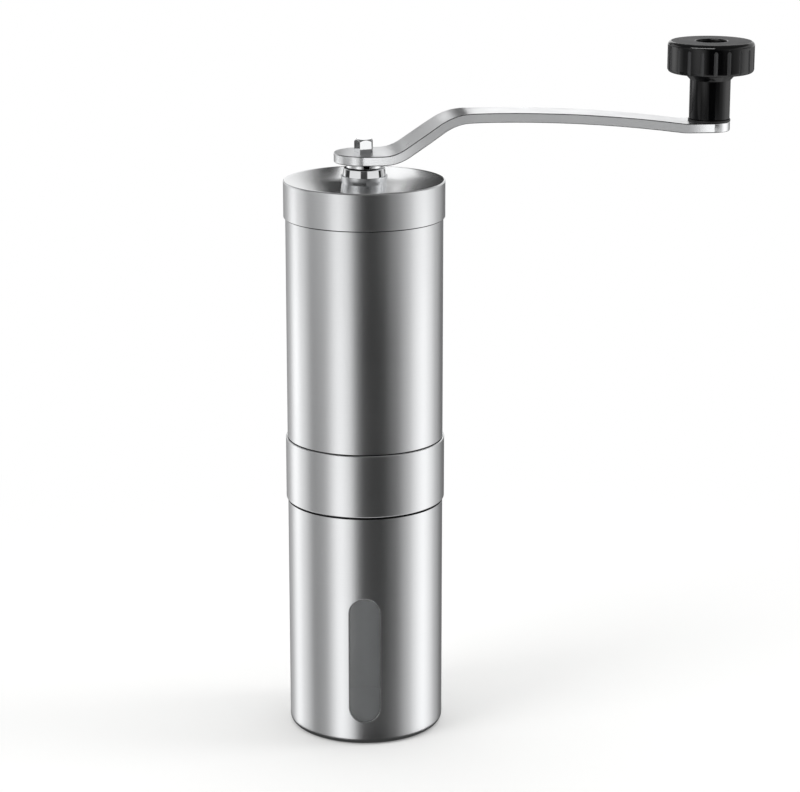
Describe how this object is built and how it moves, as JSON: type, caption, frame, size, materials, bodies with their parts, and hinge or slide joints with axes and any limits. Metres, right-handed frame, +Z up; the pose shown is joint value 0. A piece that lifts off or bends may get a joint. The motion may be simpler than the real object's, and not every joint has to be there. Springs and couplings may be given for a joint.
{
  "type": "hand crank coffee grinder",
  "caption": "Slim steel hand coffee grinder with conical ceramic burrs, a lift-off lid and bent crank with a fluted knob, a grind dial and a catch cup with a window.",
  "frame": {"origin": "middle of the catch cup's flat base, where it stands on the table", "axes": "+Z up along the shaft, -Y out of the window, +X near the crank's resting direction"},
  "size_m": [0.1398, 0.0482, 0.2097],
  "materials": {
    "shell_steel": "satin brushed stainless steel",
    "lid_steel": "circular brushed stainless steel",
    "polished_steel": "polished stainless steel",
    "window_acrylic": "smoke clear acrylic",
    "housing_plastic": "moulded black plastic",
    "retainer_plastic": "moulded grey plastic",
    "burr_ceramic": "unglazed white ceramic",
    "bush_brass": "turned brass",
    "shaft_steel": "ground stainless steel",
    "small_steel": "stamped stainless steel",
    "spring_steel": "drawn spring steel",
    "nylon_white": "white nylon",
    "core_plastic": "moulded black plastic",
    "dial_plastic": "moulded black plastic",
    "knob_plastic": "gloss black moulded plastic",
    "screw_steel": "blackened steel"
  },
  "bodies": {
    "catch": {"catch_cup": "shell_steel", "window_lens": "window_acrylic"},
    "body": {"hopper_tube": "shell_steel", "mid_band": "shell_steel", "burr_housing": "housing_plastic", "lower_bush": "bush_brass", "upper_bush": "bush_brass", "burr_retainer": "retainer_plastic", "ring_burr": "burr_ceramic"},
    "lid": {"lid_shell": "lid_steel", "lid_bush": "polished_steel"},
    "drive": {"main_shaft": "shaft_steel", "thrust_washer": "small_steel", "shaft_clip": "small_steel", "spring_seat": "small_steel"},
    "burr_set": {"cone_burr": "burr_ceramic", "burr_core": "core_plastic", "spring_washer": "nylon_white", "burr_spring": "spring_steel", "click_plate": "small_steel"},
    "adjuster": {"adjuster_dial": "dial_plastic", "adjuster_nut": "bush_brass"},
    "crank": {"crank_arm": "polished_steel", "crank_boss": "polished_steel", "knob_screw": "screw_steel", "knob_washer": "dial_plastic"},
    "knob_body": {"knob": "knob_plastic"}
  },
  "joints": [
    {"name": "body_lift", "type": "slide", "parent": "catch", "child": "body", "axis": [0, 0, 1], "range_m": [0, 0.06]},
    {"name": "crank_spin", "type": "hinge", "parent": "body", "child": "drive", "pos_m": [0, 0, 0.15], "axis": [0, 0, 1], "continuous": true},
    {"name": "crank_lift", "type": "slide", "parent": "drive", "child": "crank", "axis": [0, 0, 1], "range_m": [0, 0.04]},
    {"name": "knob_spin", "type": "hinge", "parent": "crank", "child": "knob_body", "pos_m": [0.10283, 0.01081, 0.197], "axis": [0, 0, 1], "continuous": true},
    {"name": "lid_lift", "type": "slide", "parent": "body", "child": "lid", "axis": [0, 0, 1], "range_m": [0, 0.02]},
    {"name": "burr_lift", "type": "slide", "parent": "drive", "child": "burr_set", "axis": [0, 0, 1], "range_m": [-0.00075, 0.00075], "deforming": ["burr_spring"]},
    {"name": "adjuster_turn", "type": "hinge", "parent": "burr_set", "child": "adjuster", "pos_m": [0, 0, 0.078], "axis": [0, 0, 1], "range_deg": [-270, 270]}
  ],
  "couplings": [
    {"joint": "lid_lift", "follows": "crank_lift", "ratio": 0.5},
    {"joint": "adjuster_turn", "follows": "burr_lift", "rad_per_m": 6283}
  ]
}
